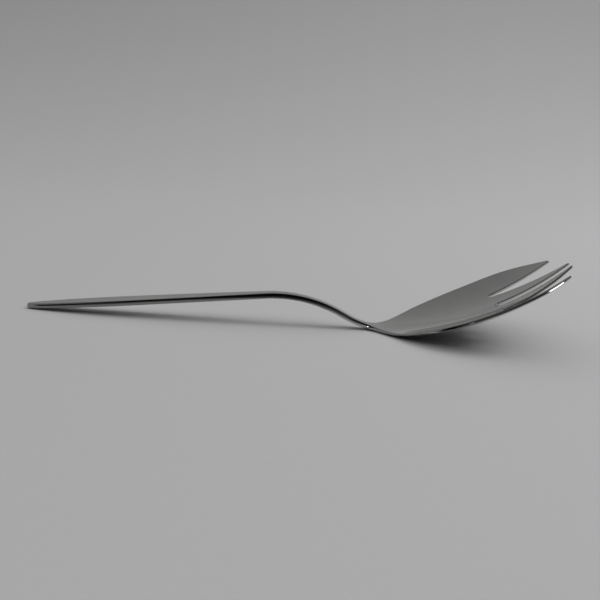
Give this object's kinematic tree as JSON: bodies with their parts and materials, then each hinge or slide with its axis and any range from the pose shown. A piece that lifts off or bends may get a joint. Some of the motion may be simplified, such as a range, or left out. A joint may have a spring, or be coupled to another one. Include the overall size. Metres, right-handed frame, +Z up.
{
  "type": "fish serving fork",
  "caption": "Slim one-piece steel serving fork with an arched handle, a dropped neck and a broad dished leaf-shaped head with pointed tines, for lifting fish.",
  "frame": {"origin": "on the table under the middle of the fork's box, as it lies on its butt and the belly of its bowl", "axes": "+X from the butt of the handle to the tines, +Y to the far side in the picture, +Z up"},
  "size_m": [0.24, 0.0554, 0.0355],
  "materials": {
    "polished_steel": "polished"
  },
  "bodies": {
    "root": {"handle": "polished_steel", "neck": "polished_steel", "bowl": "polished_steel", "tine_1": "polished_steel", "tine_2": "polished_steel", "tine_3": "polished_steel", "tine_4": "polished_steel"}
  },
  "joints": []
}
